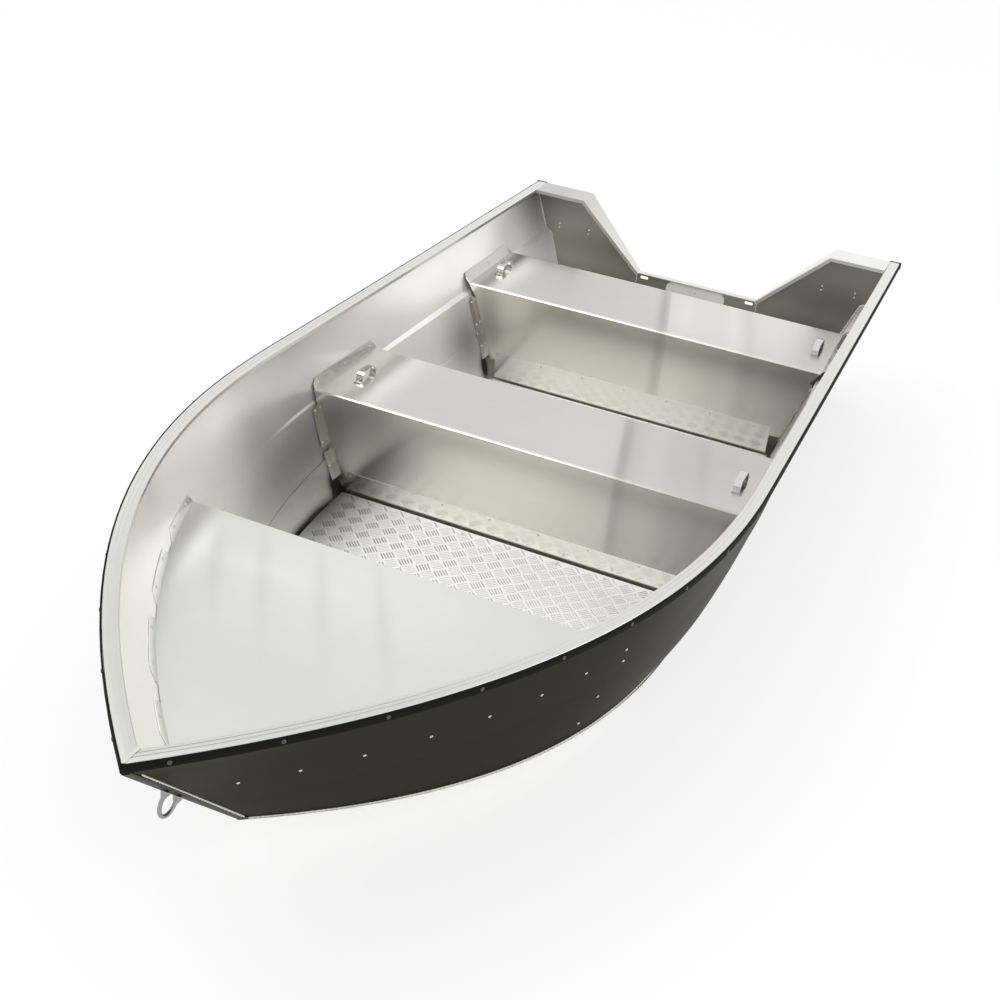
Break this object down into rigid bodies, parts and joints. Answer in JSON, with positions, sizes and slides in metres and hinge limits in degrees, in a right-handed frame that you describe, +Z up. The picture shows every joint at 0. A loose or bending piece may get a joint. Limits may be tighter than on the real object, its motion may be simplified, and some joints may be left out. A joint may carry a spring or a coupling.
{
  "type": "jon boat",
  "caption": "Open flat-bottomed aluminium utility boat with a pointed bow, bow deck, box benches, tread-plate floor and a notched transom for an outboard motor.",
  "frame": {"origin": "on the ground under the middle of the boat's overall length, on its middle plane", "axes": "+X towards the bow, +Y to port, +Z up"},
  "size_m": [3.2618, 1.3696, 0.5466],
  "materials": {
    "hull_sheet": "satin rolled sheet",
    "runner_alloy": "mill finish",
    "fitting_alloy": "satin",
    "transom_plate": "satin rolled sheet",
    "gunwale_alloy": "satin extrusion",
    "pad_alloy": "satin",
    "plug_rubber": "matt",
    "rail_rubber": "satin",
    "deck_sheet": "brushed sheet",
    "bench_sheet": "brushed sheet",
    "tread_plate": "five-bar tread plate"
  },
  "bodies": {
    "root": {"bottom": "hull_sheet", "bottom_runners": "runner_alloy", "floor_bearers": "runner_alloy", "side_port": "hull_sheet", "side_starboard": "hull_sheet", "bilge_port": "hull_sheet", "bilge_starboard": "hull_sheet", "stem": "runner_alloy", "bow_eye": "fitting_alloy", "transom": "transom_plate", "transom_cap": "gunwale_alloy", "motor_pad_inner": "pad_alloy", "motor_pad_outer": "pad_alloy", "transom_handles": "fitting_alloy", "drain_plug": "plug_rubber", "gunwale_port": "gunwale_alloy", "gunwale_starboard": "gunwale_alloy", "rub_rail_port": "rail_rubber", "rub_rail_starboard": "rail_rubber", "rail_ends": "rail_rubber", "bow_joint": "gunwale_alloy", "bow_deck": "deck_sheet", "deck_bulkhead": "bench_sheet", "bench_forward": "bench_sheet", "bench_aft": "bench_sheet", "upstand_forward": "bench_sheet", "upstand_aft": "bench_sheet", "floor_forward": "tread_plate", "floor_middle": "tread_plate", "floor_aft": "tread_plate", "loops_forward": "fitting_alloy", "loops_aft": "fitting_alloy"}
  },
  "joints": []
}
